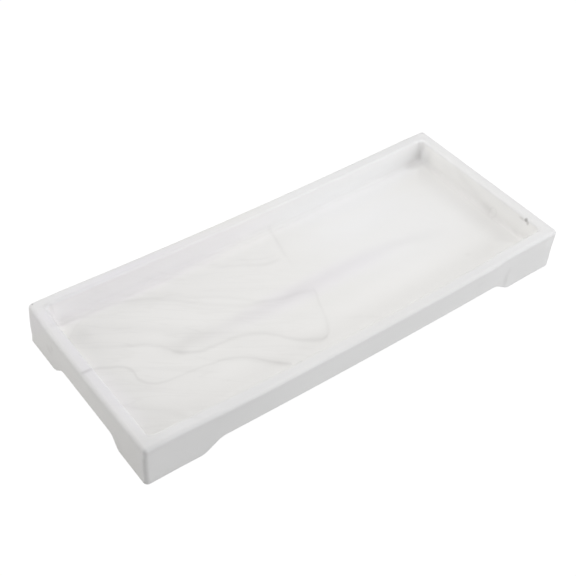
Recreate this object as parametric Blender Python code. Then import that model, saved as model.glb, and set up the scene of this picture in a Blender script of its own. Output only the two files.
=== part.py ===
# Silicone vanity tray: one soft moulding that stands on four non-slip pads.
# X runs along the tray, Y across it and Z up. The origin is the middle of the
# footprint, on the surface that the pads stand on.

import math

import bmesh
import bpy
from mathutils import Vector

MM = 0.001

# The moulding, outside: its walls draw in by the draft from the soles to the rim
TRAY_LENGTH = 280 * MM
TRAY_WIDTH = 118.5 * MM
WALL_DRAFT = 0.55 * MM
UPRIGHT_CORNER_RADIUS = 2.2 * MM
RIM_OUTER_ROUND = 1.8 * MM
LOWER_EDGE_ROUND = 0.5 * MM

# The well: a flat floor with a cove all round, inside walls that lean outward
RIM_WIDTH = 7 * MM
WELL_DEPTH = 13.6 * MM
WELL_LEAN = 2.5 * MM
WELL_CORNER_RADIUS = 3.4 * MM
COVE_RADIUS = 2.6 * MM
RIM_INNER_ROUND = 1.5 * MM
FLOOR_THICKNESS = 4.4 * MM

# The feet: a flat sole at each corner that flares into the underside
ARCH_HEIGHT = 7 * MM
FOOT_LENGTH = 34.5 * MM
FOOT_WIDTH = 27 * MM
FOOT_CORNER_RADIUS = 9 * MM
FLARE_LENGTH = 10.5 * MM
FLARE_WIDTH = 8 * MM
SOLE_ROUND = 3 * MM
ARCH_ROUND = 4 * MM

# The pads: discs that sit in shallow seats in the soles
PAD_DIAMETER = 12 * MM
PAD_THICKNESS = 1.8 * MM
PAD_STANDOUT = 0.5 * MM
PAD_EDGE_ROUND = 0.3 * MM
SEAT_CLEARANCE = 0.3 * MM

# How far a cutter runs past what it cuts, and how near two points count as one
OVERRUN = 2 * MM
WELD_DISTANCE = 0.001 * MM

# Rounds that share a wall may fill this much of it at the most
ROUND_LIMIT_SHARE = 0.95

# Facets
CORNER_FACETS = 8
ROUND_FACETS = 4
FLARE_FACETS = 4
PAD_FACETS = 40
FLARE_LEAD_ANGLE = math.radians(9)
SHARP_ANGLE = math.radians(50)

# Heights
SOLE_Z = PAD_STANDOUT
UNDERSIDE_Z = SOLE_Z + ARCH_HEIGHT
FLOOR_Z = UNDERSIDE_Z + FLOOR_THICKNESS
RIM_Z = FLOOR_Z + WELL_DEPTH

# Colours, as linear values
SILICONE_COLOUR = (0.80, 0.80, 0.79)
PAD_COLOUR = (0.42, 0.42, 0.41)

CORNERS = {
    "front_left": (-1, -1),
    "front_right": (1, -1),
    "back_left": (-1, 1),
    "back_right": (1, 1),
}


def clear_scene():
    for old in list(bpy.data.objects):
        bpy.data.objects.remove(old, do_unlink=True)


def new_collection(name):
    collection = bpy.data.collections.new(name)
    bpy.context.scene.collection.children.link(collection)
    return collection


def new_material(name, colour, roughness):
    material = bpy.data.materials.new(name)
    material.use_nodes = True
    shader = material.node_tree.nodes["Principled BSDF"]
    shader.inputs["Base Color"].default_value = (*colour, 1)
    shader.inputs["Roughness"].default_value = roughness
    shader.inputs["Metallic"].default_value = 0
    material.diffuse_color = (*colour, 1)
    return material


def new_object(name, bm, collection):
    """Closes a bmesh into an object of its own."""
    bmesh.ops.recalc_face_normals(bm, faces=bm.faces)
    mesh = bpy.data.meshes.new(name)
    bm.to_mesh(mesh)
    bm.free()
    piece = bpy.data.objects.new(name, mesh)
    collection.objects.link(piece)
    return piece


def as_cutter(piece):
    piece.hide_render = True
    piece.display_type = "WIRE"
    return piece


def cut(piece, cutters):
    """Takes the cutters out of a piece and keeps the result as its mesh."""
    for cutter in cutters:
        difference = piece.modifiers.new(cutter.name, "BOOLEAN")
        difference.operation = "DIFFERENCE"
        difference.solver = "EXACT"
        difference.object = cutter
    depsgraph = bpy.context.evaluated_depsgraph_get()
    finished = bpy.data.meshes.new_from_object(piece.evaluated_get(depsgraph))
    piece.modifiers.clear()
    piece.data = finished


def tapered_block(bottom, top):
    """A box between two levels, each given as (length, width, height of the level)."""
    bm = bmesh.new()
    bmesh.ops.create_cube(bm, size=1)
    for vert in bm.verts:
        length, width, level = top if vert.co.z > 0 else bottom
        vert.co = Vector((vert.co.x * length, vert.co.y * width, level))
    return bm


def upright_edges(bm):
    return [e for e in bm.edges if len({v.co.z for v in e.verts}) == 2]


def edges_at(bm, level):
    return [
        e for e in bm.edges
        if all(abs(v.co.z - level) < WELD_DISTANCE for v in e.verts)
        and e.calc_face_angle() > SHARP_ANGLE
    ]


def round_edges(bm, edges, radius, facets):
    bmesh.ops.bevel(
        bm, geom=edges, offset=radius, offset_type="OFFSET", segments=facets,
        profile=0.5, affect="EDGES", clamp_overlap=False, material=-1,
    )


def outer_block(collection):
    """The moulding before anything is taken out, its top edge rounded."""
    bm = tapered_block(
        (TRAY_LENGTH, TRAY_WIDTH, SOLE_Z),
        (TRAY_LENGTH - 2 * WALL_DRAFT, TRAY_WIDTH - 2 * WALL_DRAFT, RIM_Z))
    round_edges(bm, upright_edges(bm), UPRIGHT_CORNER_RADIUS, CORNER_FACETS)
    rim_round = min(RIM_OUTER_ROUND, ROUND_LIMIT_SHARE * UPRIGHT_CORNER_RADIUS)
    round_edges(bm, edges_at(bm, RIM_Z), rim_round, ROUND_FACETS)
    return new_object("tray_body", bm, collection)


def well_cutter(collection):
    """The hollow of the tray: leaning walls, rounded corners, coved floor."""
    well_length = TRAY_LENGTH - 2 * (WALL_DRAFT + RIM_WIDTH)
    well_width = TRAY_WIDTH - 2 * (WALL_DRAFT + RIM_WIDTH)
    lean_above_rim = WELL_LEAN * OVERRUN / WELL_DEPTH
    bm = tapered_block(
        (well_length - 2 * WELL_LEAN, well_width - 2 * WELL_LEAN, FLOOR_Z),
        (well_length + 2 * lean_above_rim, well_width + 2 * lean_above_rim,
         RIM_Z + OVERRUN),
    )
    round_edges(bm, upright_edges(bm), WELL_CORNER_RADIUS, CORNER_FACETS)
    cove = min(COVE_RADIUS, ROUND_LIMIT_SHARE * WELL_CORNER_RADIUS)
    round_edges(bm, edges_at(bm, FLOOR_Z), cove, ROUND_FACETS)
    return as_cutter(new_object("well_cutter", bm, collection))


def flare_rounds(run):
    """The two radii of a flare, small enough to leave a straight between them."""
    room = ROUND_LIMIT_SHARE * min(run, ARCH_HEIGHT)
    fit = min(1, room / (SOLE_ROUND + ARCH_ROUND))
    return SOLE_ROUND * fit, ARCH_ROUND * fit


def flare_slope(run):
    """The angle of the straight that touches both rounds of a flare."""
    sole_round, arch_round = flare_rounds(run)
    rise = ARCH_HEIGHT - sole_round - arch_round
    return math.atan2(rise, run) + math.asin((sole_round + arch_round) / math.hypot(rise, run))


def flare_reach(run, height):
    """How far a flare has spread at a height above the sole."""
    sole_round, arch_round = flare_rounds(run)
    slope = flare_slope(run)
    below_arch = ARCH_HEIGHT - height
    if height < sole_round * (1 - math.cos(slope)):
        return math.sqrt(sole_round ** 2 - (sole_round - height) ** 2)
    if below_arch < arch_round * (1 - math.cos(slope)):
        return run - math.sqrt(arch_round ** 2 - (arch_round - below_arch) ** 2)
    above_round = height - sole_round * (1 - math.cos(slope))
    return sole_round * math.sin(slope) + above_round / math.tan(slope)


def flare_heights():
    """Heights above the sole that facet both rounds of the long flare evenly."""
    sole_round, arch_round = flare_rounds(FLARE_LENGTH)
    slope = flare_slope(FLARE_LENGTH)
    turn = slope - FLARE_LEAD_ANGLE
    angles = [FLARE_LEAD_ANGLE + turn * i / FLARE_FACETS for i in range(FLARE_FACETS + 1)]
    low = [sole_round * (1 - math.cos(a)) for a in angles]
    high = [ARCH_HEIGHT - arch_round * (1 - math.cos(a)) for a in reversed(angles)]
    return low + high


def foot_sections():
    """The flare as (spread along X, spread along Y, level), run out at both ends.

    The first and last slopes go on past the sole and the underside, so that
    those planes are crossed at a clear angle, and then the post goes straight on.
    """
    sections = [
        (flare_reach(FLARE_LENGTH, h), flare_reach(FLARE_WIDTH, h), SOLE_Z + h)
        for h in flare_heights()
    ]

    def run_out(end, inner, level):
        step = (level - end[2]) / (end[2] - inner[2])
        return (end[0] + (end[0] - inner[0]) * step, end[1] + (end[1] - inner[1]) * step, level)

    margin = SOLE_ROUND * (1 - math.cos(FLARE_LEAD_ANGLE))
    low = run_out(sections[0], sections[1], SOLE_Z - margin)
    high = run_out(sections[-1], sections[-2], UNDERSIDE_Z + margin)
    return [
        (low[0], low[1], SOLE_Z - 2 * OVERRUN), low, *sections, high,
        (high[0], high[1], UNDERSIDE_Z + 2 * OVERRUN),
    ]


def foot_post(name, side_x, side_y, collection):
    """One foot with its flare, as a loft up from the sole, wider at each section.

    The outline is a rectangle whose inner corner is an arc. Each point says
    how much of the spread along X and along Y it takes.
    """
    outline = [
        (-2 * OVERRUN, -2 * OVERRUN, 0, 0),
        (FOOT_LENGTH, -2 * OVERRUN, 1, 0),
    ]
    for i in range(CORNER_FACETS + 1):
        angle = math.pi / 2 * i / CORNER_FACETS
        outline.append((
            FOOT_LENGTH - FOOT_CORNER_RADIUS * (1 - math.cos(angle)),
            FOOT_WIDTH - FOOT_CORNER_RADIUS * (1 - math.sin(angle)),
            1, 1,
        ))
    outline.append((-2 * OVERRUN, FOOT_WIDTH, 0, 1))

    def place(point, section):
        inward_x = point[0] + point[2] * section[0]
        inward_y = point[1] + point[3] * section[1]
        return Vector((
            side_x * (TRAY_LENGTH / 2 - inward_x),
            side_y * (TRAY_WIDTH / 2 - inward_y),
            section[2],
        ))

    sections = foot_sections()
    bm = bmesh.new()
    face = bm.faces.new([bm.verts.new(place(p, sections[0])) for p in outline])
    for section in sections[1:]:
        face = bmesh.ops.extrude_discrete_faces(bm, faces=[face])["faces"][0]
        for vert, point in zip(face.verts, outline):
            vert.co = place(point, section)
    return as_cutter(new_object(name, bm, collection))


def underside_cutter(collection):
    """All the room under the tray, with the four feet left out of it."""
    size = (TRAY_LENGTH + 2 * OVERRUN, TRAY_WIDTH + 2 * OVERRUN)
    bm = tapered_block((*size, SOLE_Z - OVERRUN), (*size, UNDERSIDE_Z))
    room = as_cutter(new_object("underside_cutter", bm, collection))
    cut(room, [
        foot_post("foot_post_" + corner, *sides, collection)
        for corner, sides in CORNERS.items()
    ])
    return room


def pad_centre(side_x, side_y):
    return Vector((
        side_x * (TRAY_LENGTH - FOOT_LENGTH) / 2,
        side_y * (TRAY_WIDTH - FOOT_WIDTH) / 2,
        0,
    ))


def disc(name, diameter, bottom, top, centre, edge_round, collection):
    bm = bmesh.new()
    bmesh.ops.create_cone(
        bm, cap_ends=True, segments=PAD_FACETS,
        radius1=diameter / 2, radius2=diameter / 2, depth=top - bottom)
    if edge_round:
        rims = [e for e in bm.edges if e.verts[0].co.z == e.verts[1].co.z]
        round_edges(bm, rims, edge_round, ROUND_FACETS // 2)
    piece = new_object(name, bm, collection)
    piece.location = centre + Vector((0, 0, (bottom + top) / 2))
    return piece


def seat_cutter(corner, sides, collection):
    return as_cutter(disc(
        "seat_cutter_" + corner, PAD_DIAMETER + 2 * SEAT_CLEARANCE,
        SOLE_Z - OVERRUN, PAD_THICKNESS + SEAT_CLEARANCE, pad_centre(*sides), 0, collection))


def non_slip_pad(corner, sides, material, collection):
    edge_round = min(PAD_EDGE_ROUND, ROUND_LIMIT_SHARE * PAD_THICKNESS / 2)
    pad = disc(
        "non_slip_pad_" + corner, PAD_DIAMETER, 0, PAD_THICKNESS,
        pad_centre(*sides), edge_round, collection)
    finish(pad, material)


def finish(piece, material):
    piece.data.materials.clear()
    piece.data.materials.append(material)
    piece.data.shade_smooth()
    piece.data.set_sharp_from_angle(angle=SHARP_ANGLE)


def edit(piece):
    bm = bmesh.new()
    bm.from_mesh(piece.data)
    bmesh.ops.remove_doubles(bm, verts=bm.verts, dist=WELD_DISTANCE)
    return bm


def put_back(bm, piece):
    bm.to_mesh(piece.data)
    bm.free()


def tray_body(material, collection, cutters):
    body = outer_block(collection)

    cut(body, [well_cutter(cutters)])
    bm = edit(body)
    rim_round = min(RIM_INNER_ROUND, ROUND_LIMIT_SHARE * WELL_CORNER_RADIUS)
    round_edges(bm, edges_at(bm, RIM_Z), rim_round, ROUND_FACETS)
    put_back(bm, body)

    cut(body, [underside_cutter(cutters)])
    bm = edit(body)
    low_edges = [
        e for e in bm.edges
        if max(v.co.z for v in e.verts) < UNDERSIDE_Z + WELD_DISTANCE
        and e.calc_face_angle() > SHARP_ANGLE
    ]
    round_edges(bm, low_edges, LOWER_EDGE_ROUND, ROUND_FACETS // 2)
    put_back(bm, body)

    cut(body, [seat_cutter(corner, sides, cutters) for corner, sides in CORNERS.items()])
    finish(body, material)


def build():
    clear_scene()
    parts = new_collection("silicone_vanity_tray")
    cutters = new_collection("cutters")
    silicone = new_material("marbled_silicone", SILICONE_COLOUR, 0.45)
    pad_rubber = new_material("pad_rubber", PAD_COLOUR, 0.7)
    tray_body(silicone, parts, cutters)
    for corner, sides in CORNERS.items():
        non_slip_pad(corner, sides, pad_rubber, parts)


build()
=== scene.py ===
import math
import bmesh
import bpy
from mathutils import Matrix, Vector


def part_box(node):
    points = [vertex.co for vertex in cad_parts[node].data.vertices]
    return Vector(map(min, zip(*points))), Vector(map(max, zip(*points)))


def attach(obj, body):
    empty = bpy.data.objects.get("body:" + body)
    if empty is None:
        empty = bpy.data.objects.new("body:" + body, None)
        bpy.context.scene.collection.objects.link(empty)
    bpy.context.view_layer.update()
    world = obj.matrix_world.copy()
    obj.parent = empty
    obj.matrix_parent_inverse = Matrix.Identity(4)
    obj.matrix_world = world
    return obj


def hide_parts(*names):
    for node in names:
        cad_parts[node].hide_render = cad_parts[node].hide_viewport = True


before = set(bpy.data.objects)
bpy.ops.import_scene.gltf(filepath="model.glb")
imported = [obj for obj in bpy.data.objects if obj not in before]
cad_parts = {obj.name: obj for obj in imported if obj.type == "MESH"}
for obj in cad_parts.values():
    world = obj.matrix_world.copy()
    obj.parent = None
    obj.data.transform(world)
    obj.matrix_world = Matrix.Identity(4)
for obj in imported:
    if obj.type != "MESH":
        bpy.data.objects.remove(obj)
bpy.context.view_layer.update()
mm = 0.001
hair = 0.01 * mm  # two places nearer than this are one
scene = bpy.context.scene
trayLow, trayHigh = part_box("tray_body")
padNames = [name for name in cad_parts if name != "tray_body"]
print("frame loaded:", len(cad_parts), "solids")


def newPiece(name, bm):
    mesh = bpy.data.meshes.new(name)
    bm.to_mesh(mesh)
    bm.free()
    piece = bpy.data.objects.new(name, mesh)
    scene.collection.objects.link(piece)
    return piece


def roundEdges(bm, edges, offset, steps):
    bmesh.ops.bevel(bm, geom=edges, offset=offset, offset_type="OFFSET", segments=steps,
                    profile=0.5, affect="EDGES", clamp_overlap=False, material=-1)


def cutPlane(bm, geometry, axis, place):
    normal = Vector((0, 0, 0))
    normal[axis] = 1
    bmesh.ops.bisect_plane(bm, geom=geometry, plane_co=normal * place, plane_no=normal,
                           dist=hair)


# the tray, one soft moulding

tray = {
    "rim": 7 * mm,  # width of the rim, seen from above
    "depth": 13.6 * mm,  # rim down to the floor of the well
    "lean": 2.5 * mm,  # how far the inside walls lean outward on the way up
    "draft": 0.55 * mm,  # how far the outside walls draw in on the way up
    "arch": 7 * mm,  # room under the tray, between the feet
    "footLength": 34.5 * mm,
    "footWidth": 27 * mm,
    "flareLength": 10.5 * mm,  # slope from a sole up to the underside, along the tray
    "flareWidth": 8 * mm,  # and across it
    "footCorner": 9 * mm,  # round of the slope at a foot's inner corner
    # where this is less than outerRound, the rim's front corners fold over. The back ones
    # still have some folded faces, too small to see from the camera
    "outerCorner": 2.6 * mm,
    "wellCorner": 3.4 * mm,
    "soleBend": 2.3 * mm,  # from a sole into its slope
    "archBend": 2.6 * mm,  # and from the slope into the underside
    "outerRound": 2.3 * mm,  # outer edge of the rim
    "innerRound": 1.5 * mm,  # and its inner edge
    "cove": 2.6 * mm,  # from the floor of the well into its walls
    "lowerRound": 0.5 * mm,  # lower outside edges
    "steps": 8,  # facets in a round
    "cell": 5 * mm,  # spacing of the cuts that let the mesh bend
    "seatRoom": 0.3 * mm,  # round a pad in its seat
    "seatFacets": 64,
    "sharp": 45,  # edges that turn by more degrees are shaded sharp
}


def level(edge, z):
    return all(abs(v.co.z - z) < hair for v in edge.verts)


def bend(edge):
    return math.degrees(edge.calc_face_angle_signed(0))


def drawOut(bm, faces):
    drawn = bmesh.ops.extrude_discrete_faces(bm, faces=faces)
    return list({v for f in drawn["faces"] for v in f.verts})


def shapeTray(s, low, high):
    bm = bmesh.new()
    half = (high - low) / 2
    underside = low.z + s["arch"]
    floor = high.z - s["depth"]
    faint, slight, clear, strong, steep = 0.5, 10, 30, 50, 80  # turns at an edge, in degrees
    bmesh.ops.create_cube(bm, size=1)
    bmesh.ops.scale(bm, vec=(2 * half.x, 2 * half.y, high.z - underside), verts=bm.verts)
    bmesh.ops.translate(bm, vec=(0, 0, (high.z + underside) / 2), verts=bm.verts)

    # the well
    top = max(bm.faces, key=lambda f: f.calc_center_median().z)
    bmesh.ops.inset_region(bm, faces=[top], thickness=s["rim"], use_even_offset=True)
    sunkVerts = drawOut(bm, [top])
    narrow = [1 - s["lean"] / (half.x - s["rim"]), 1 - s["lean"] / (half.y - s["rim"]), 1]
    bmesh.ops.scale(bm, vec=narrow, verts=sunkVerts)
    bmesh.ops.translate(bm, vec=(0, 0, -s["depth"]), verts=sunkVerts)

    # the feet, drawn down from the corners of the underside
    soleX, soleY = half.x - s["footLength"], half.y - s["footWidth"]
    for axis, place in ((0, soleX), (0, -soleX), (1, soleY), (1, -soleY)):
        faces = [f for f in bm.faces if all(abs(v.co.z - underside) < hair for v in f.verts)]
        parts = {e for f in faces for e in f.edges} | {v for f in faces for v in f.verts}
        cutPlane(bm, faces + list(parts), axis, place)
    down = -0.5  # a face whose normal is lower looks down
    corners = [f for f in bm.faces if f.normal.z < down and len(f.verts) == 4
               and abs(f.calc_center_median().x) > soleX
               and abs(f.calc_center_median().y) > soleY]
    bmesh.ops.translate(bm, vec=(0, 0, low.z - underside), verts=drawOut(bm, corners))
    for v in bm.verts:  # the inner sides slope
        if abs(v.co.z - underside) < hair:
            if abs(abs(v.co.x) - soleX) < hair:
                v.co.x -= math.copysign(s["flareLength"], v.co.x)
            if abs(abs(v.co.y) - soleY) < hair:
                v.co.y -= math.copysign(s["flareWidth"], v.co.y)
    bmesh.ops.dissolve_limit(bm, angle_limit=math.radians(faint), verts=bm.verts,
                             edges=bm.edges)

    # the rounds
    def upright(e):
        return abs(e.verts[0].co.z - e.verts[1].co.z) > 1 * mm

    def outside(e):
        return all(abs(v.co.x) > half.x - hair and abs(v.co.y) > half.y - hair
                   for v in e.verts)

    def inWell(e):
        return min(v.co.z for v in e.verts) > underside + hair

    def underFoot(e):
        return upright(e) and not inWell(e) and all(
            abs(v.co.x) < half.x - hair and abs(v.co.y) < half.y - hair for v in e.verts)

    def nearWell(e):
        return all(abs(v.co.x) < half.x - s["rim"] + hair
                   and abs(v.co.y) < half.y - s["rim"] + hair for v in e.verts)

    steps = s["steps"]
    roundEdges(bm, [e for e in bm.edges if underFoot(e)], s["footCorner"], steps)
    inner = [e for e in bm.edges if level(e, underside) and bend(e) < -slight]
    roundEdges(bm, inner, s["archBend"], steps)
    soles = [e for e in bm.edges if level(e, low.z) and slight < bend(e) < steep]
    roundEdges(bm, soles, s["soleBend"], steps)
    outerEdges = [e for e in bm.edges if upright(e) and outside(e)]
    roundEdges(bm, outerEdges, s["outerCorner"], steps)
    wellEdges = [e for e in bm.edges if upright(e) and inWell(e) and bend(e) < -slight]
    roundEdges(bm, wellEdges, s["wellCorner"], steps)
    rimEdges = [e for e in bm.edges if level(e, high.z) and bend(e) > clear]
    outerRim = [e for e in rimEdges if not nearWell(e)]
    roundEdges(bm, [e for e in rimEdges if nearWell(e)], s["innerRound"], steps)
    roundEdges(bm, outerRim, s["outerRound"], steps)
    coveEdges = [e for e in bm.edges if level(e, floor) and bend(e) < -clear]
    roundEdges(bm, coveEdges, s["cove"], steps)
    lowEdges = [e for e in bm.edges if bend(e) > strong
                and max(v.co.z for v in e.verts) < underside + hair]
    roundEdges(bm, lowEdges, s["lowerRound"], steps // 2)

    for v in bm.verts:  # the draft
        height = (v.co.z - low.z) / (high.z - low.z)
        v.co.x *= 1 - s["draft"] / half.x * height
        v.co.y *= 1 - s["draft"] / half.y * height
    return bm


# silicone gives: the middle hangs a little lower than the ends, the walls lean, and the
# feet stand a little aside

flexing = {
    "sag": 2 * mm,
    "sagReach": 121 * mm,  # where the sag starts, from the middle
    "frontLean": 1.5 * mm,
    "frontLeft": (-128 * mm, -74 * mm),  # the lean comes in between these
    "frontRight": (101 * mm, 86 * mm),  # and goes out between these
    "leftLean": 0.2 * mm,
    "backLean": 0.25 * mm,
    "rightLean": 0.35 * mm,
    "corner": 1 * mm,  # how far the back left corner of the rim is pressed in
    "frontDrop": 0.4 * mm,  # the edge of the front arch hangs lower
    "dropEnds": (112 * mm, 92 * mm),  # and the drop comes in between these, at both ends
    "frontFoot": 0.25 * mm,  # the front wall's foot stands out a little
    "rightFoot": 2.5 * mm,  # how far the front right foot gives toward the middle
    "leftFlare": 0.9 * mm,  # and the flare of the front left foot away from it
    "flareStart": (-140 * mm, -112 * mm),  # the flare's move comes in between these
    "flareEnd": (-60 * mm, -90 * mm),  # and goes out between these
    # the left end gives toward the front: where across, and how far, in mm
    "slides": ((-59, 0), (-33, 0.9), (-25, 3.3), (-15, 2.6), (15, 1.9), (30, 2.1),
               (59, 1.4)),
    "wallPower": 3,  # the higher this is, the nearer to its wall a move stays
    "endPower": 6,  # the same at the left end
    "soleGap": 0.05 * mm,  # nothing sinks lower than this
}


def ease(value, start, end):
    share = min(1, max(0, (value - start) / (end - start)))
    return share * share * (3 - 2 * share)


def between(table, at):
    for (start, first), (end, last) in zip(table, table[1:]):
        if at < end:
            return first + (last - first) * max(0, (at - start) / (end - start))
    return table[-1][1]


def flex(bm, f, s, low, high):
    floor = high.z - s["depth"]
    wallPower, endPower = f["wallPower"], f["endPower"]
    for v in bm.verts:
        x, y, z = v.co
        toFront, toBack = ease(y, 0, low.y) ** wallPower, ease(y, 0, high.y) ** wallPower
        toLeft, toRight = ease(x, 0, low.x) ** wallPower, ease(x, 0, high.x) ** wallPower
        height = ease(z, floor - s["cove"], high.z + s["depth"] / 2)
        below = ease(z, floor, low.z + s["arch"])
        front = toFront * ease(x, *f["frontLeft"]) * ease(x, *f["frontRight"])
        left = toLeft * ease(abs(y), high.y, 0)
        v.co.y += height * (f["backLean"] * toBack - f["frontLean"] * front)
        v.co.x += height * (f["rightLean"] * toRight - f["leftLean"] * left)
        v.co.x += f["corner"] * z / high.z * ease(y, high.y / 2, high.y) * toLeft
        slide = between(f["slides"], y / mm) * mm
        v.co.y -= slide * ease(x, 0, low.x) ** endPower * below
        v.co.z -= f["sag"] * max(0, 1 - (x / f["sagReach"]) ** 2)
        foot = toFront * below
        v.co.z -= f["frontDrop"] * foot * ease(abs(x), *f["dropEnds"])
        v.co.y -= f["frontFoot"] * foot
        v.co.x -= (f["rightFoot"] * (1 - z / high.z)
                   * ease(x, 0, high.x - s["footWidth"]) * toFront)
        v.co.x -= f["leftFlare"] * foot * ease(x, *f["flareStart"]) * ease(x, *f["flareEnd"])
        v.co.z = max(v.co.z, f["soleGap"])


def cutSeats(piece, s):
    cutters = []
    for name in padNames:
        low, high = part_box(name)
        radius = (high.x - low.x) / 2 + s["seatRoom"]
        bm = bmesh.new()
        bmesh.ops.create_cone(bm, cap_ends=True, segments=s["seatFacets"], radius1=radius,
                              radius2=radius, depth=2 * (high.z + s["seatRoom"]))
        bmesh.ops.translate(bm, vec=((low.x + high.x) / 2, (low.y + high.y) / 2, 0),
                            verts=bm.verts)
        cutter = newPiece("seat", bm)
        cutters.append(cutter)
        seat = piece.modifiers.new(name, "BOOLEAN")
        seat.object = cutter
        seat.solver = "EXACT"
    cut = piece.evaluated_get(bpy.context.evaluated_depsgraph_get())
    piece.data = bpy.data.meshes.new_from_object(cut)
    piece.modifiers.clear()
    for cutter in cutters:
        bpy.data.objects.remove(cutter)


def buildTray():
    bm = shapeTray(tray, trayLow, trayHigh)
    for axis in range(3):
        side = trayHigh[axis] - trayLow[axis]
        steps = round(side / tray["cell"])
        for i in range(1, steps):
            place = trayLow[axis] + side * i / steps
            cutPlane(bm, bm.verts[:] + bm.edges[:] + bm.faces[:], axis, place)
    flex(bm, flexing, tray, trayLow, trayHigh)
    body = newPiece("tray", bm)
    cutSeats(body, tray)
    body.data.shade_smooth()
    body.data.set_sharp_from_angle(angle=math.radians(tray["sharp"]))
    even = body.modifiers.new("even shading", "WEIGHTED_NORMAL")
    even.keep_sharp = True
    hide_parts("tray_body")
    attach(body, "root")
    print("tray:", len(body.data.vertices), "points")
    return body


body = buildTray()


# node helpers

def put(tree, kind, feeds, **settings):
    made = tree.nodes.new("ShaderNode" + kind)
    for name, value in settings.items():
        setattr(made, name, value)
    for socket, feed in feeds.items():
        if isinstance(feed, bpy.types.NodeSocket):
            tree.links.new(feed, made.inputs[socket])
        else:
            made.inputs[socket].default_value = feed
    return made


def calc(tree, operation, *feeds):
    return put(tree, "Math", dict(enumerate(feeds)), operation=operation).outputs[0]


def calcVector(tree, operation, feeds):
    return put(tree, "VectorMath", feeds, operation=operation).outputs[0]


def fade(tree, value, start, end, low=0, high=1):  # from low at start to high at end
    feeds = {"Value": value, "From Min": start, "From Max": end, "To Min": low, "To Max": high}
    return put(tree, "MapRange", feeds, interpolation_type="SMOOTHSTEP").outputs["Result"]


def mixColour(tree, share, first, second, **settings):
    feeds = {"Factor": share, 6: first, 7: second}  # the Mix node's sockets for colours
    return put(tree, "Mix", feeds, data_type="RGBA", **settings).outputs[2]


def newGroup(name, inputs, outputs):
    group = bpy.data.node_groups.new(name, "ShaderNodeTree")
    for way, sockets in (("INPUT", inputs), ("OUTPUT", outputs)):
        for label, kind in sockets.items():
            group.interface.new_socket(label, in_out=way, socket_type="NodeSocket" + kind)
    given = group.nodes.new("NodeGroupInput").outputs
    return group, given, group.nodes.new("NodeGroupOutput").inputs


veinLine = {
    "waves": 0.05,  # how many waves its width has to each mm
    "waveFade": (0.3, 0.7),
    "widths": (0.8, 1.15),  # the thinnest and the widest, as shares of its width
    "veilFade": (-0.2, 0.1),  # how the veil comes in beside the line
    "start": (0, 0.01),  # shares of its length in which it comes and goes
    "end": (0.99, 1),
}


def veinGroup(s):
    # a soft dark line with a veil on one side, a little uneven along its length
    group, given, out = newGroup("vein", {
        "Along": "Float", "Offset": "Float", "Width": "Float", "Veil": "Float",
        "Veil Share": "Float", "Weight": "Float", "Length": "Float", "Seed": "Float",
    }, {"Mask": "Float"})
    far = calc(group, "MULTIPLY", given["Along"], given["Length"])
    at = calc(group, "MULTIPLY_ADD", far, s["waves"], given["Seed"])
    wave = put(group, "TexNoise", {"W": at, "Scale": 1, "Detail": 1},
               noise_dimensions="1D").outputs["Fac"]
    uneven = fade(group, wave, *s["waveFade"], *s["widths"])
    away = calc(group, "ABSOLUTE", given["Offset"])
    line = fade(group, away, 0, calc(group, "MULTIPLY", given["Width"], uneven), 1, 0)
    side = calc(group, "DIVIDE", given["Offset"], given["Veil"])
    veil = calc(group, "MULTIPLY", fade(group, side, 0, 1, 1, 0),
                fade(group, side, *s["veilFade"]))
    both = calc(group, "MULTIPLY_ADD", veil, given["Veil Share"], line)
    ends = calc(group, "MULTIPLY", fade(group, given["Along"], *s["start"]),
                fade(group, given["Along"], *s["end"], 1, 0))
    weight = calc(group, "MULTIPLY", given["Weight"], ends)
    group.links.new(calc(group, "MULTIPLY", both, weight), out["Mask"])
    return group


streaks = {
    "angle": -35.5,
    "length": 60, "spacing": 6,  # in mm
    "line": 0.04,  # how wide a line is
    "twist": 0.3,
    "cloud": 0.45,  # scale of the slow light and dark, to the lines'
    "cloudFade": (0.35, 0.65),
    "lineShade": 0.06, "cloudShade": 0.05,
    "clear": (-70, 30), "clearShare": 0.12,  # they fade between these, to the right
    "calm": (1, 5), "calmShare": 0.3,  # and between these heights over the floor
}


def streakGroup(s):
    # long thin lines that lie side by side, and the slow light and dark between them
    group, given, out = newGroup("streaks", {
        "Place": "Vector", "Angle": "Float", "Length": "Float", "Spacing": "Float",
        "Line": "Float"}, {"Lines": "Float", "Cloud": "Float"})
    turned = put(group, "VectorRotate", {"Vector": given["Place"], "Angle": given["Angle"]},
                 rotation_type="Z_AXIS").outputs[0]
    size = put(group, "CombineXYZ", {0: given["Length"], 1: given["Spacing"],
                                     2: given["Length"]}).outputs[0]
    drawn = calcVector(group, "DIVIDE", {0: turned, 1: size})
    wave = put(group, "TexNoise", {"Vector": drawn, "Scale": 1, "Detail": 2,
                                   "Distortion": s["twist"]}).outputs["Fac"]
    middle = calc(group, "ABSOLUTE", calc(group, "SUBTRACT", wave, 0.5))
    group.links.new(fade(group, middle, 0, given["Line"], 1, 0), out["Lines"])
    broad = put(group, "TexNoise", {"Vector": drawn, "Scale": s["cloud"],
                                    "Detail": 1}).outputs["Fac"]
    group.links.new(fade(group, broad, *s["cloudFade"]), out["Cloud"])
    return group


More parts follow.
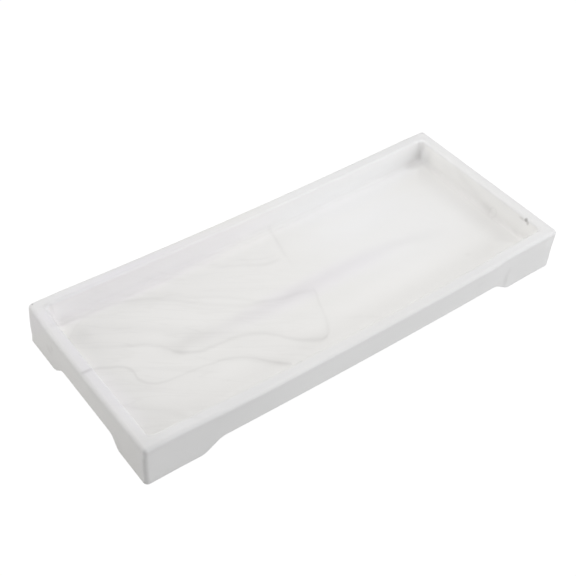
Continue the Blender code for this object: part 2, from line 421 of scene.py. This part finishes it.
def spotGroup():
    # a soft-edged patch
    group, given, out = newGroup("spot", {
        "Place": "Vector", "Centre": "Vector", "Size": "Vector", "Core": "Float",
        "Strength": "Float"}, {"Mask": "Float"})
    apart = calcVector(group, "SUBTRACT", {0: given["Place"], 1: given["Centre"]})
    scaled = calcVector(group, "DIVIDE", {0: apart, 1: given["Size"]})
    far = put(group, "VectorMath", {0: scaled}, operation="LENGTH").outputs["Value"]
    mask = fade(group, far, given["Core"], 1, 1, 0)
    group.links.new(calc(group, "MULTIPLY", mask, given["Strength"]), out["Mask"])
    return group


def grainGroup():
    # the fine skin that a mould leaves, as a height and a roughness
    group, given, out = newGroup("moulded skin", {
        "Place": "Vector", "Size": "Float", "Wave": "Float", "Roughness": "Float",
        "Spread": "Float"}, {"Height": "Float", "Roughness": "Float"})

    def noise(size, detail):
        scale = calc(group, "DIVIDE", 1, given[size])
        return put(group, "TexNoise", {"Vector": given["Place"], "Scale": scale,
                                       "Detail": detail}).outputs["Fac"]

    fine, broad = noise("Size", 3), noise("Wave", 1)
    height = calc(group, "MULTIPLY_ADD", broad, 2, fine)  # the broad waves count double
    group.links.new(height, out["Height"])
    centred = calc(group, "SUBTRACT", fine, 0.5)
    rough = calc(group, "MULTIPLY_ADD", centred, given["Spread"], given["Roughness"])
    group.links.new(rough, out["Roughness"])
    return group


vein, streak = veinGroup(veinLine), streakGroup(streaks)
spot, grain = spotGroup(), grainGroup()

# the marbling and the painted shade laid over it, in mm, seen from above on the floor of the
# well

marble = {
    "white": (0.864, 0.86, 0.849),
    "shade": (0.525, 0.515, 0.507),  # what a full mask gives
    "darkest": 2,  # the most that masks add up to
    "rimLevel": (23.4, 24.6),  # the rim begins between these heights
    "rimShade": 0.02,
    "mottle": 0.04, "mottleScale": 0.8,
    "floorLevel": 11.9,
    "drift": (0.2, 0.8),  # how the pattern moves along and across with each mm of height
    "wobble": 1.2, "wobbleScale": 0.09,
    "outside": (138.3, 57.6),  # past these the pattern fades, on the outside walls
    "outsideFade": (0, 1.2), "outsideShare": 0.1,
    "cove": (127.9, 47.1),  # where the floor starts to rise
    "turn": (-3, 3),  # from a side of the well to its end
    "middle": (-1, 1),  # from one half of the tray to the other
    "veinSeed": 3.7,  # each vein's waves start so much further on
    "shine": 0.35,
    "skin": {"size": 0.35, "wave": 9, "roughness": 0.55, "spread": 0.2, "bump": 0.12,
             "height": 0.05 * mm},
}

# each point is how far along, how far across and how dark

veinsAndPaintedShade = {
    "front": {
        "points": ((-138.5, 11.9, 0), (-136, 11.5, 0.26), (-134, 11.2, 0.38),
                   (-131, 11, 0.28), (-128, 10.5, 0.19), (-125, 9.5, 0.2), (-120, 6.8, 0.17),
                   (-115.4, 4.3, 0.17), (-112.2, -0.3, 0.17), (-111.3, -10.5, 0.17),
                   (-108.2, -14.5, 0.16), (-103, -17, 0.14), (-95, -18.1, 0.1),
                   (-85, -19, 0.09), (-75, -20.5, 0.11), (-65, -23, 0.13),
                   (-57, -28, 0.14), (-50, -36, 0.17), (-45, -41, 0.17),
                   (-42, -43.6, 0.12), (-40.5, -44.8, 0)),
        "turn": -40, "width": 1.8, "veil": -6, "veilShare": 0.2},
    "front end": {
        "points": ((-60, -26, 0), (-54, -31.5, 0.06), (-50, -36, 0.1), (-45, -41, 0.17),
                   (-42.5, -43.4, 0.12), (-41, -44.6, 0)),
        "turn": -48, "width": 3.4, "veil": 5, "veilShare": 0.1},
    "middle": {
        "points": ((-128, 29, 0.02), (-118, 23, 0.04), (-110, 17.5, 0.08), (-104, 14, 0.14),
                   (-98, 11, 0.12), (-93, 7, 0.09), (-88.5, 1, 0.11), (-86, -3, 0.17),
                   (-80, -8, 0.16), (-70, -10.5, 0.13), (-62, -11.5, 0.11), (-52, -13, 0.1),
                   (-43, -17, 0.11), (-37, -22, 0.12), (-31, -29, 0.14), (-25, -35, 0.16),
                   (-20, -38.5, 0.19), (-15, -39.6, 0.15), (-12, -39, 0)),
        "turn": -32, "width": 2.4, "veil": 10, "veilShare": 0.4},
    "hook": {
        "points": ((-18, -39.6, 0.04), (-14, -39, 0.11), (-10.5, -36.5, 0.12),
                   (-7, -31, 0.1), (-4, -24, 0.07), (-1, -16, 0.1), (1.5, -11, 0.09),
                   (2.6, -7, 0.06), (3, -4, 0)),
        "turn": 58, "width": 1.7, "veil": 6, "veilShare": 0.3},
    "back": {
        "points": ((-131, 32, 0.02), (-125, 38.5, 0.05), (-118, 43.5, 0.06),
                   (-109, 46.3, 0.06), (-100, 46.2, 0.07), (-92, 45.2, 0.1),
                   (-86, 43.1, 0.14), (-78, 38.8, 0.11), (-70, 33.2, 0.09), (-62, 26, 0.09),
                   (-55, 18.8, 0.07), (-45, 11, 0.06), (-36, 5, 0.07), (-28, 2, 0.11),
                   (-20, -1, 0.09), (-12, -3, 0.1), (-5, -4.5, 0.09), (0, -6, 0.06),
                   (4, -8, 0)),
        "turn": -26, "width": 2.8, "veil": -9, "veilShare": 0.5},
    "beside back": {
        "points": ((-80, 45, 0), (-68, 36, 0.06), (-58, 27.2, 0.07), (-44, 17.3, 0.07),
                   (-36, 10.5, 0.07), (-29, 4, 0.06), (-24, 0, 0)),
        "turn": -33, "width": 2.4, "veil": 6, "veilShare": 0.2},
    "upper": {
        "points": ((-46, 50, 0.02), (-40, 46, 0.03), (-34, 42, 0.05), (-28, 37, 0.05),
                   (-20, 32, 0.06), (-12, 27, 0.09), (-5, 24.5, 0.1), (0, 24, 0.06),
                   (3, 24, 0)),
        "turn": -32, "width": 2.3, "veil": 6, "veilShare": 0.4},
    "upper twin": {
        "points": ((-24, 39.5, 0), (-18, 36.5, 0.05), (-9, 31, 0.05), (-2, 28.5, 0.06),
                   (3, 28, 0)),
        "turn": -25, "width": 1.7, "veil": 4, "veilShare": 0.2},
    "cross": {
        "points": ((12.5, 51, 0.06), (11, 44, 0.09), (10, 39, 0.11), (8, 32, 0.085),
                   (6.5, 26, 0.08), (6, 22, 0.03), (5, 17, 0.02), (4, 12, 0)),
        "turn": -104, "width": 2.1, "veil": 5, "veilShare": 0.3},
    "corner": {
        "points": ((-130, -16, 0.02), (-125, -21, 0.07), (-118, -28, 0.06),
                   (-110, -36, 0.07), (-106, -42, 0.08), (-103, -46, 0)),
        "turn": -50, "width": 3.4, "veil": -12, "veilShare": 0.12},
    "slant": {
        "points": ((-124, 42, 0.02), (-112, 34, 0.06), (-100, 26, 0.08), (-88, 17, 0.08),
                   (-78, 8, 0.08), (-70, 2, 0)),
        "turn": -38, "width": 8, "veil": 9, "veilShare": 0.2},
    "flick": {
        "points": ((3, -34, 0), (8.8, -36.9, 0.05), (13, -40, 0.03), (17.4, -42.8, 0.06),
                   (21, -44, 0)),
        "turn": -30, "width": 1.8, "veil": 4, "veilShare": 0.2},
    # band: painted shade, a broad soft darker band along the middle of the floor
    "band": {
        "points": ((-96, 3, 0), (-86, 0, 0.09), (-75, -1, 0.12), (-50, -3, 0.11),
                   (-20, -4, 0.11), (10, -3, 0.1), (50, -2.5, 0.085), (72, -5, 0.075),
                   (88, -9, 0.05), (102, -11, 0)),
        "turn": 0, "width": 8, "veil": 14, "veilShare": 0.15},
    # edge: painted shade in the crease at the foot of the back wall
    "edge": {
        "points": ((-134, 48, 0.08), (-120, 47.8, 0.1), (-100, 48, 0.08), (-80, 47.6, 0.08),
                   (-60, 47.4, 0.06), (-40, 47.6, 0.04), (-20, 48, 0)),
        "turn": 0, "width": 3, "veil": 7, "veilShare": 0.4},
}

# a vein on the right wall: how far across, how high and how dark

wallVein = {
    "points": ((24, 25, 0), (19.3, 24, 0.05), (12.3, 21, 0.08), (5.1, 19.5, 0.07),
               (-4.6, 16.5, 0.08), (-10.1, 15.5, 0.1), (-13.7, 14.8, 0.08),
               (-16.5, 13.7, 0.07), (-20.5, 11.7, 0.08), (-28, 9, 0)),
    "turn": -162, "width": 5, "veil": 7, "veilShare": 0.4,
    "fromX": (126, 129), "seed": 1.9,
}

# each patch below is its centre, how far it reaches each way, how much of that has its full
# strength, and the strength, which lightens where it is below zero

smudges = {
    "left dark": ((-124, 35, 12), (11, 10, 12), 0.1, 0.17),
    "left haze": ((-120, 28, 12), (32, 28, 24), 0, 0.09),
    "left rim": ((-137, -10, 25), (12, 75, 16), 0.3, 0.07),
    "front rim": ((-95, -46, 25), (75, 12, 12), 0.2, 0.11),
    "knot": ((-84, -4.5, 12), (6.5, 5, 8), 0.1, 0.08),
    "mid haze": ((-72, 1, 12), (17, 10, 12), 0, 0.09),
    "hook tip": ((-6, -1, 12), (16, 6, 8), 0, 0.05),
    "fleck": ((94, -34, 12), (3, 2.4, 3), 0.1, 0.1),
}

# marks, painted shade and painted light that stay at one place on the tray and don't drift
# with the pattern

marksWithPaintedLightAndShade = {
    "side smudge": ((-140, 35, 12), (5, 5, 4), 0.1, 0.16),
    "side smudge top": ((-140, 31.5, 16), (5, 2.6, 3.5), 0.1, 0.14),
    # painted light in the middle of the left outer wall, and painted shade toward its front
    "side middle": ((-140, 0, 14), (6, 40, 12), 0.3, -0.05),
    "side front": ((-140, -52, 12), (6, 12, 16), 0.3, 0.06),
    # painted light on the front left corner's round, most at its top
    "front corner": ((-140, -59, 14), (3, 3, 22), 0.3, -0.27),
    "corner top": ((-140, -57.8, 22.5), (2, 2, 6), 0.3, -0.5),
    # painted light over the middle of the front wall
    "front middle": ((-40, -60, 15), (62, 6, 14), 0.3, -0.08),
    "streak": ((78.5, -60, 16), (5, 5, 2.4), 0.1, 0.07),
    # painted shade in a crease of the front wall, above the right foot
    "crease": ((100.4, -60, 7.5), (2.8, 5, 8), 0.2, 0.21),
    "crease top": ((102.2, -60, 13), (2.4, 5, 5), 0.1, 0.1),
    # painted shade over the right of the front wall
    "front right": ((118, -60, 12), (28, 6, 16), 0.3, 0.06),
    "rim corner": ((-135, -53, 25), (15, 16, 5), 0.2, 0.1),
    # painted shade on the round of the front rim's outer edge
    "front edge": ((20, -57, 24), (160, 6, 4.2), 0.2, 0.19),
    "speck": ((133, -40.2, 23.7), (2.4, 1.9, 1.8), 0.3, 1.25),
    "speck tail": ((133, -37.2, 23), (3, 3.4, 1.3), 0.2, 0.45),
    "speck foot": ((133, -42, 22.8), (3, 1.5, 1.9), 0.2, 0.75),
    # painted light on the right rim, and painted shade on the back rim
    "rim right": ((135, 40, 25), (10, 45, 5), 0.3, -0.07),
    "back rim": ((-40, 56.5, 25), (85, 5, 4), 0.3, 0.08),
    # painted shade over the back left inner corner's lit round, and on the floor beside it
    "inner corner": ((-130.2, 51.6, 20), (3.8, 3.2, 9), 0.3, 0.3),
    "floor corner": ((-125, 47.5, 13), (10, 9, 8), 0.1, 0.15),
    "wall far left": ((-110, 51, 16), (26, 6, 9), 0.2, 0.03),
    "wall left": ((-62, 52, 17), (82, 5, 8), 0.4, 0.05),
    # painted shade on the right of the back wall
    "back wall": ((65, 52, 17), (65, 5, 8), 0.3, 0.05),
    # painted shadow in the back right inner corner and on the floor at its foot
    "back corner": ((130, 50.5, 13.4), (4.6, 4.2, 9), 0.1, 0.29),
    "corner foot": ((124, 47.2, 11.9), (9.5, 5.5, 3.6), 0.2, 0.34),
    # painted light on the right inner wall
    "corner side": ((132.6, 46.5, 15), (3.2, 5.5, 9), 0.3, -0.3),
    "right wall back": ((132, 40, 18), (5, 15, 8), 0.2, -0.13),
    "corner right": ((131.5, 32, 14), (4, 22, 5), 0.2, -0.13),
    "right wall": ((133, 2, 19.5), (5, 100, 8), 0.4, -0.11),
    "end smudge": ((131, -12, 14.5), (5, 8, 4.5), 0, 0.1),
    "ring": ((131, -16.8, 13.8), (4, 4, 5), 0.6, 0.12),
    "ring middle": ((131, -16.8, 13.8), (4, 2.8, 3.8), 0.5, -0.15),
    # painted shade on the floor by the right wall
    "low right": ((124, -18, 12), (14, 34, 5), 0, 0.09),
    "clear end": ((80, 8, 12), (80, 66, 9), 0.3, -0.08),
    "clear back": ((45, 31, 12), (62, 20, 5), 0.3, -0.05),
    # painted light over the front of the floor, by the front wall
    "front floor": ((25, -30, 12), (115, 18, 4), 0.3, -0.12),
    "light front": ((-72, -33, 12), (30, 14, 4), 0.2, -0.1),
    "front low left": ((-108, -30, 12), (36, 20, 4), 0.2, -0.05),
}

# casts, which the colour is multiplied by, and where they are. The cool cast is painted cool
# light, on the rim, the front wall, the back wall and the right of the floor

paintedCoolLight = (0.9945, 1, 1.018)
rimPaintedCoolLight = 0.75
paintedCoolLightSpots = {
    "front wall": ((0, -66, 12), (600, 14, 60), 0.7, 0.6),
    "back": ((75, 56, 15), (90, 24, 26), 0.5, 0.9),
    "right": ((70, 5, 12), (75, 44, 9), 0.3, 0.6),
    "back right": ((58, 32, 12), (60, 24, 9), 0.3, 0.5),
}
lilac = (0.975, 0.94, 1.045)
lilacs = {
    "back wall": ((-70, 55, 18), (110, 15, 22), 0.5, 0.25),
    "back rim": ((-80, 66, 26), (75, 6, 6), 0.3, 0.13),
    "left rim": ((-131.5, 8, 26), (6, 62, 9), 0.3, 0.22),
    # band: tints the painted shade of the band in the floor
    "band": ((5, -4, 12), (85, 13, 8), 0.2, 0.3),
    "left end": ((-128, -14, 12), (10, 40, 10), 0.1, 0.18),
}

# painted shade that follows the well's edge, over the cove's lit ridge, the rim's lit inner
# edges and the floor by the right wall:
# where it comes in and goes out, counted outward from the start of the cove, and how dark it
# is at the front, the back, the left and the right

paintedEdgeShade = {
    "foot": {"comes": (-1.8, 1.2), "goes": (2, 3.4), "sides": (0.1, 0.235), "ends": (0, 0.05)},
    "right foot": {"comes": (-19, 0.5), "goes": (0.6, 4.3), "sides": (0, 0), "ends": (0, 0.2)},
    "right cove": {"comes": (0.6, 1.4), "goes": (2.2, 3), "sides": (0, 0), "ends": (0, 0.05)},
    "back edge": {"comes": (4.2, 5.1), "goes": (5.7, 6.8), "sides": (0, 0.09), "ends": (0, 0)},
    "left edge": {"comes": (4, 4.5), "goes": (4.9, 5.3), "sides": (0, 0), "ends": (0.12, 0)},
}


def curveOf(tree, along, spots):
    curve = put(tree, "FloatCurve", {"Value": along})
    line = curve.mapping.curves[0]
    line.points[0].location, line.points[1].location = spots[0], spots[-1]
    for at in spots[1:-1]:
        line.points.new(*at)
    curve.mapping.update()
    return curve.outputs[0]


def addVein(tree, flat, s, seed):
    # the curve nodes run from 0 to 1, so the points are turned and scaled to that
    turn = math.radians(s["turn"])
    cos, sin = math.cos(turn), math.sin(turn)
    turned = [(x * cos + y * sin, y * cos - x * sin) for x, y, _ in s["points"]]
    low = [min(p[i] for p in turned) for i in range(2)]
    reach = [max(p[i] for p in turned) - low[i] for i in range(2)]
    turner = put(tree, "VectorRotate", {"Vector": flat, "Angle": -turn},
                 rotation_type="Z_AXIS").outputs[0]
    parts = put(tree, "SeparateXYZ", {0: turner}).outputs
    along = calc(tree, "DIVIDE", calc(tree, "SUBTRACT", parts[0], low[0]), reach[0])
    shares = [(u - low[0]) / reach[0] for u, _ in turned]
    across = [(v - low[1]) / reach[1] for _, v in turned]
    darks = [dark for _, _, dark in s["points"]]
    path = curveOf(tree, along, list(zip(shares, across)))
    weight = curveOf(tree, along, list(zip(shares, darks)))
    offset = calc(tree, "SUBTRACT", parts[1],
                  calc(tree, "MULTIPLY_ADD", path, reach[1], low[1]))
    return put(tree, "Group", {
        "Along": along, "Offset": offset, "Width": s["width"], "Veil": s["veil"],
        "Veil Share": s["veilShare"], "Weight": weight, "Length": reach[0], "Seed": seed,
    }, node_tree=vein).outputs["Mask"]


def addSpots(tree, spots, position, total):
    for centre, size, core, strength in spots.values():
        patch = put(tree, "Group", {"Place": position, "Centre": centre, "Size": size,
                                    "Core": core, "Strength": strength}, node_tree=spot)
        total = calc(tree, "ADD", total, patch.outputs["Mask"])
    return total


def addStreaks(tree, s, flat, alongX, rise, total):
    fine = put(tree, "Group", {"Place": flat, "Angle": -math.radians(s["angle"]),
                               "Length": s["length"], "Spacing": s["spacing"],
                               "Line": s["line"]}, node_tree=streak).outputs
    lines = calc(tree, "MULTIPLY", fine["Lines"], s["lineShade"])
    lines = calc(tree, "MULTIPLY_ADD", fine["Cloud"], s["cloudShade"], lines)
    clear = calc(tree, "MULTIPLY", fade(tree, alongX, *s["clear"], 1, s["clearShare"]),
                 fade(tree, rise, *s["calm"], 1, s["calmShare"]))
    return calc(tree, "MULTIPLY_ADD", lines, clear, total)


def past(tree, parts, reach):  # how far past these, along and across
    return [calc(tree, "SUBTRACT", calc(tree, "ABSOLUTE", parts[i]), reach[i])
            for i in range(2)]


# painted shade along the well's edge
def addPaintedEdgeShade(tree, parts, total):
    pastX, pastY = past(tree, parts, marble["cove"])
    outward = calc(tree, "MAXIMUM", pastX, pastY)
    endwise = calc(tree, "SUBTRACT", pastX, pastY)
    for s in paintedEdgeShade.values():
        soft = calc(tree, "MULTIPLY", fade(tree, outward, *s["comes"]),
                    fade(tree, outward, *s["goes"], 1, 0))
        ends = fade(tree, parts[0], *marble["middle"], *s["ends"])
        sides = fade(tree, parts[1], *marble["middle"], *s["sides"])
        shade = fade(tree, endwise, *marble["turn"], sides, ends)
        total = calc(tree, "MULTIPLY_ADD", soft, shade, total)
    return total


def newMaterial(name):
    material = bpy.data.materials.new(name)
    material.use_nodes = True
    return material, material.node_tree


def placeInMm(tree):
    spotted = put(tree, "TexCoord", {}).outputs["Object"]
    return calcVector(tree, "SCALE", {0: spotted, "Scale": 1 / mm})


def addSkin(tree, shader, inMm, s):
    skin = put(tree, "Group", {"Place": inMm, "Size": s["size"], "Wave": s["wave"],
                               "Roughness": s["roughness"], "Spread": s["spread"]},
               node_tree=grain).outputs
    tree.links.new(skin["Roughness"], shader.inputs["Roughness"])
    bump = put(tree, "Bump", {"Height": skin["Height"], "Strength": s["bump"],
                              "Distance": s["height"]})
    tree.links.new(bump.outputs[0], shader.inputs["Normal"])


def marbledSilicone():
    material, tree = newMaterial("marbled silicone")
    shader = tree.nodes["Principled BSDF"]
    inMm = placeInMm(tree)
    parts = put(tree, "SeparateXYZ", {0: inMm}).outputs

    # the pattern drifts with the height and wobbles a little
    rise = calc(tree, "SUBTRACT", parts[2], marble["floorLevel"])
    alongX = calc(tree, "MULTIPLY_ADD", rise, marble["drift"][0], parts[0])
    acrossY = calc(tree, "MULTIPLY_ADD", rise, marble["drift"][1], parts[1])
    drifted = put(tree, "CombineXYZ", {0: alongX, 1: acrossY, 2: parts[2]}).outputs[0]
    wander = put(tree, "TexNoise", {"Vector": drifted, "Scale": marble["wobbleScale"],
                                    "Detail": 2}).outputs["Color"]
    shift = calcVector(tree, "SUBTRACT", {0: wander, 1: (0.5, 0.5, 0.5)})
    flat = calcVector(tree, "MULTIPLY_ADD", {0: shift, 1: (marble["wobble"],) * 3,
                                             2: drifted})

    # how dark it is
    total = 0
    # the veins, and the painted shade of the band and of the back wall's foot
    for i, s in enumerate(veinsAndPaintedShade.values()):
        total = calc(tree, "ADD", total, addVein(tree, flat, s, marble["veinSeed"] * i))
    total = addStreaks(tree, streaks, flat, alongX, rise, total)
    total = addSpots(tree, smudges, flat, total)
    outward = calc(tree, "MAXIMUM", *past(tree, parts, marble["outside"]))
    kept = fade(tree, outward, *marble["outsideFade"], 1, marble["outsideShare"])
    total = calc(tree, "MULTIPLY", total, kept)
    # fixed marks, with painted shade and painted light among them
    total = addSpots(tree, marksWithPaintedLightAndShade, inMm, total)
    onWall = put(tree, "CombineXYZ", {0: parts[1], 1: parts[2]}).outputs[0]
    atRight = fade(tree, parts[0], *wallVein["fromX"])
    wallMask = addVein(tree, onWall, wallVein, wallVein["seed"])
    total = calc(tree, "MULTIPLY_ADD", wallMask, atRight, total)
    # painted shade along the well's edge
    total = addPaintedEdgeShade(tree, parts, total)
    onRim = fade(tree, parts[2], *marble["rimLevel"])
    total = calc(tree, "MULTIPLY_ADD", onRim, marble["rimShade"], total)
    mottle = put(tree, "TexNoise", {"Vector": inMm, "Scale": marble["mottleScale"],
                                    "Detail": 2}).outputs["Fac"]
    total = calc(tree, "MULTIPLY_ADD", calc(tree, "SUBTRACT", mottle, 0.5),
                 marble["mottle"], total)

    # its colour, painted cool light, lilac tint and skin
    colour = mixColour(tree, calc(tree, "MINIMUM", total, marble["darkest"]),
                       (*marble["white"], 1), (*marble["shade"], 1), clamp_factor=False)
    # painted cool light, on the rim and at the spots
    paintedCoolShare = addSpots(tree, paintedCoolLightSpots, inMm, calc(tree, "MULTIPLY", onRim, rimPaintedCoolLight))
    for share, cast in ((paintedCoolShare, paintedCoolLight), (addSpots(tree, lilacs, flat, 0), lilac)):
        colour = mixColour(tree, share, colour, (*cast, 1), blend_type="MULTIPLY")
    tree.links.new(colour, shader.inputs["Base Color"])
    addSkin(tree, shader, inMm, marble["skin"])
    shader.inputs["Specular IOR Level"].default_value = marble["shine"]
    return material


pads = {
    "dark": (0.39, 0.39, 0.38),
    "light": (0.45, 0.45, 0.44),
    "cloud": 0.4,
    "skin": {"size": 0.5, "wave": 5, "roughness": 0.75, "spread": 0.3, "bump": 0.3,
             "height": 0.1 * mm},
}


def padRubber(s):
    material, tree = newMaterial("pad rubber")
    shader = tree.nodes["Principled BSDF"]
    inMm = placeInMm(tree)
    cloud = put(tree, "TexNoise", {"Vector": inMm, "Scale": s["cloud"], "Detail": 3})
    colour = mixColour(tree, cloud.outputs["Fac"], (*s["dark"], 1), (*s["light"], 1))
    tree.links.new(colour, shader.inputs["Base Color"])
    addSkin(tree, shader, inMm, s["skin"])
    return material


body.data.materials.clear()
body.data.materials.append(marbledSilicone())
rubber = padRubber(pads)
for name in padNames:
    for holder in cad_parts[name].material_slots:
        holder.material = rubber
print("materials ready")

# camera, fitted to the edges of the tray

view = {"azimuth": -39.34, "elevation": 43.896, "roll": 3.523,
        "aim": (-8.478 * mm, 5.776 * mm), "distance": 618.67 * mm, "lift": 0.5 * mm,
        "lens": 68.402, "sensor": 36}


def addCamera(s):
    turn, tilt, roll = (math.radians(s[k]) for k in ("azimuth", "elevation", "roll"))
    back = Vector((math.sin(turn) * math.cos(tilt), -math.cos(turn) * math.cos(tilt),
                   math.sin(tilt)))
    right = Vector((0, 0, 1)).cross(back).normalized()
    up = back.cross(right)
    rolledRight = math.cos(roll) * right + math.sin(roll) * up
    rolledUp = -math.sin(roll) * right + math.cos(roll) * up
    data = bpy.data.cameras.new("camera")
    data.lens = s["lens"]
    data.sensor_width = s["sensor"]
    camera = bpy.data.objects.new("camera", data)
    scene.collection.objects.link(camera)
    turned = Matrix((rolledRight, rolledUp, back)).transposed()
    camera.matrix_world = turned.to_4x4()
    camera.location = (turned @ Vector((*s["aim"], s["distance"]))
                       + Vector((0, 0, s["lift"])))
    scene.camera = camera


addCamera(view)
scene.view_settings.view_transform = "Standard"

studio = {
    "worldLight": 0.285, "worldTint": (1, 0.99, 0.985),
    "floorSize": 6,
    "bounce": 0.6,  # how much light the floor throws back at the tray
    "shadowShare": 0.05,  # how much of the shadow the camera sees
    "glow": 1.05,
    "lamps": {
        "over": {"place": (0.04, -0.02, 0.45), "size": 0.4, "power": 1.1,
                 "tint": (1, 0.995, 0.99)},
        "front": {"place": (0.45, -0.85, 0.35), "size": 0.5, "power": 2.35,
                  "tint": (0.98, 0.99, 1)},
        "low right": {"place": (0.72, -0.65, 0.28), "size": 0.4, "power": 1.6,
                      "tint": (0.98, 0.99, 1)},
        "left": {"place": (-0.6, 0.5, 0.3), "size": 0.4, "power": 2.05,
                 "tint": (1, 0.99, 0.97)},
    },
}
white = (1, 1, 1, 1)


def plainView(tree):  # rays that should meet plain white
    path = put(tree, "LightPath", {}).outputs
    both = calc(tree, "MAXIMUM", path["Is Camera Ray"], path["Is Glossy Ray"])
    return calc(tree, "MAXIMUM", both, path["Is Transmission Ray"])


def addWorld(s):
    world = bpy.data.worlds.new("studio")
    world.use_nodes = True
    scene.world = world
    tree = world.node_tree
    lit = tree.nodes["Background"]
    lit.inputs["Color"].default_value = (*s["worldTint"], 1)
    lit.inputs["Strength"].default_value = s["worldLight"]
    seen = put(tree, "Background", {"Color": white})
    mix = put(tree, "MixShader", {0: plainView(tree), 1: lit.outputs[0], 2: seen.outputs[0]})
    tree.links.new(mix.outputs[0], tree.nodes["World Output"].inputs["Surface"])


def addFloor(s):
    material, tree = newMaterial("floor")
    tree.nodes.clear()
    glow = put(tree, "Emission", {"Color": white, "Strength": s["glow"]})
    catcher = put(tree, "BsdfDiffuse", {"Color": white})
    # what the camera sees is white, with a share of the shadow
    seen = put(tree, "MixShader", {0: s["shadowShare"], 1: glow.outputs[0],
                                   2: catcher.outputs[0]})
    paint = put(tree, "BsdfDiffuse", {"Color": (s["bounce"],) * 3 + (1,)})
    mix = put(tree, "MixShader", {0: plainView(tree), 1: paint.outputs[0],
                                  2: seen.outputs[0]})
    out = tree.nodes.new("ShaderNodeOutputMaterial")
    tree.links.new(mix.outputs[0], out.inputs["Surface"])
    bm = bmesh.new()
    bmesh.ops.create_grid(bm, x_segments=1, y_segments=1, size=s["floorSize"] / 2)
    ground = newPiece("ground", bm)
    ground.data.materials.append(material)


def addLamps(s):
    for name, lamp in s["lamps"].items():
        data = bpy.data.lights.new(name, "AREA")
        data.size = lamp["size"]
        data.energy = lamp["power"]
        data.color = lamp["tint"]
        lit = bpy.data.objects.new(name, data)
        lit.visible_camera = False
        scene.collection.objects.link(lit)
        lit.location = lamp["place"]
        lit.rotation_euler = Vector(lamp["place"]).to_track_quat("Z", "Y").to_euler()


addWorld(studio)
addFloor(studio)
addLamps(studio)
print("camera and studio ready")
